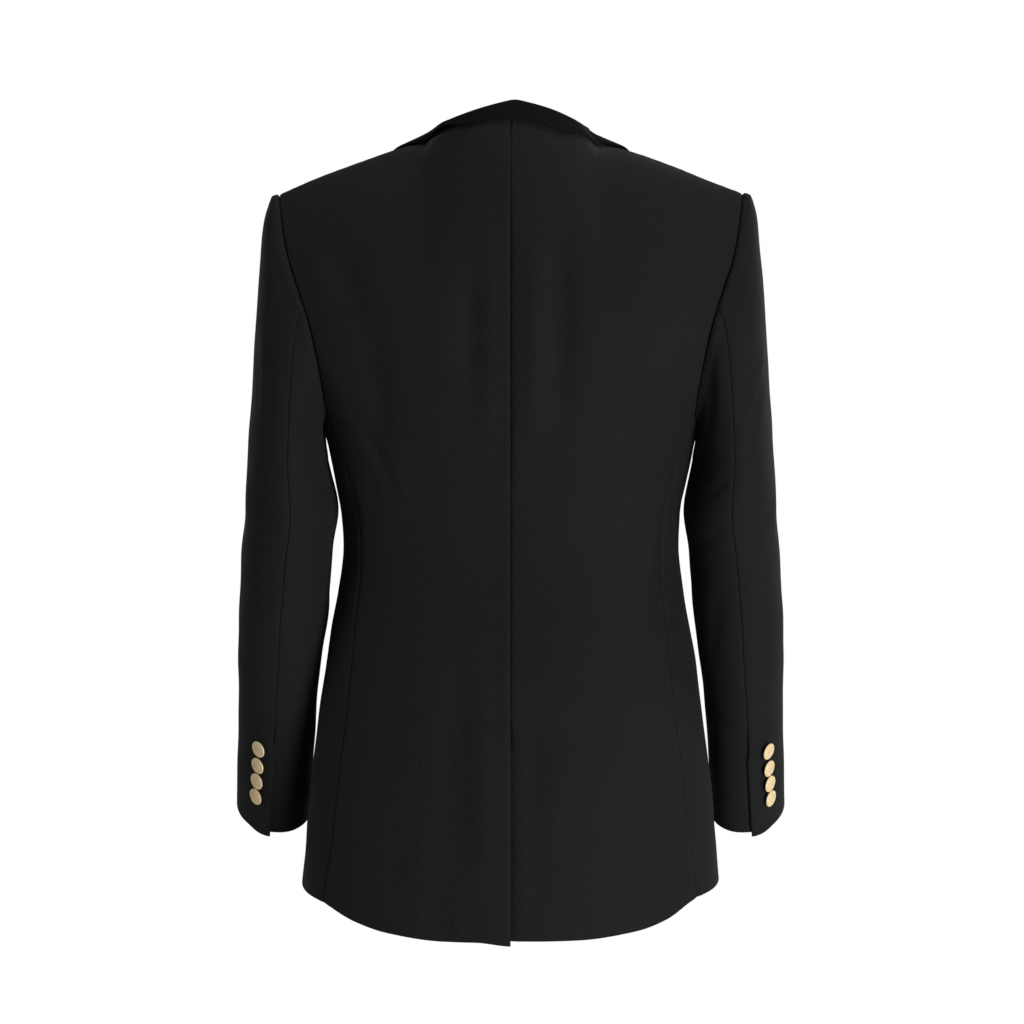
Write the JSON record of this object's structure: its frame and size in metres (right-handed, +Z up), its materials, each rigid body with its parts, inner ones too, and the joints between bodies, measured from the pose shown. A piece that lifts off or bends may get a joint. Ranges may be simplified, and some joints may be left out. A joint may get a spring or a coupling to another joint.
{
  "type": "blazer",
  "caption": "Fitted single-breasted blazer with a notched collar, long two-piece sleeves, buttoned cuffs and a centre back vent, open and empty as if worn.",
  "frame": {"origin": "in the neck opening, level with the collar's roll at the shoulders, where the wearer's shoulders carry it", "axes": "+Z up, the back of the garment faces -Y, +X towards the wearer's right"},
  "size_m": [0.4884, 0.2511, 0.7074],
  "materials": {
    "cloth": "matt fine black wool",
    "button": "satin gilt"
  },
  "bodies": {
    "root": {"back_left": "cloth", "side_left": "cloth", "front_left": "cloth", "lapel_left": "cloth", "upper_sleeve_left": "cloth", "under_sleeve_left": "cloth", "back_right": "cloth", "side_right": "cloth", "front_right": "cloth", "lapel_right": "cloth", "upper_sleeve_right": "cloth", "under_sleeve_right": "cloth", "collar": "cloth", "cuff_button_left_1": "button", "cuff_button_left_2": "button", "cuff_button_left_3": "button", "cuff_button_left_4": "button", "cuff_button_right_1": "button", "cuff_button_right_2": "button", "cuff_button_right_3": "button", "cuff_button_right_4": "button", "front_button_1": "button", "front_button_2": "button"}
  },
  "joints": []
}
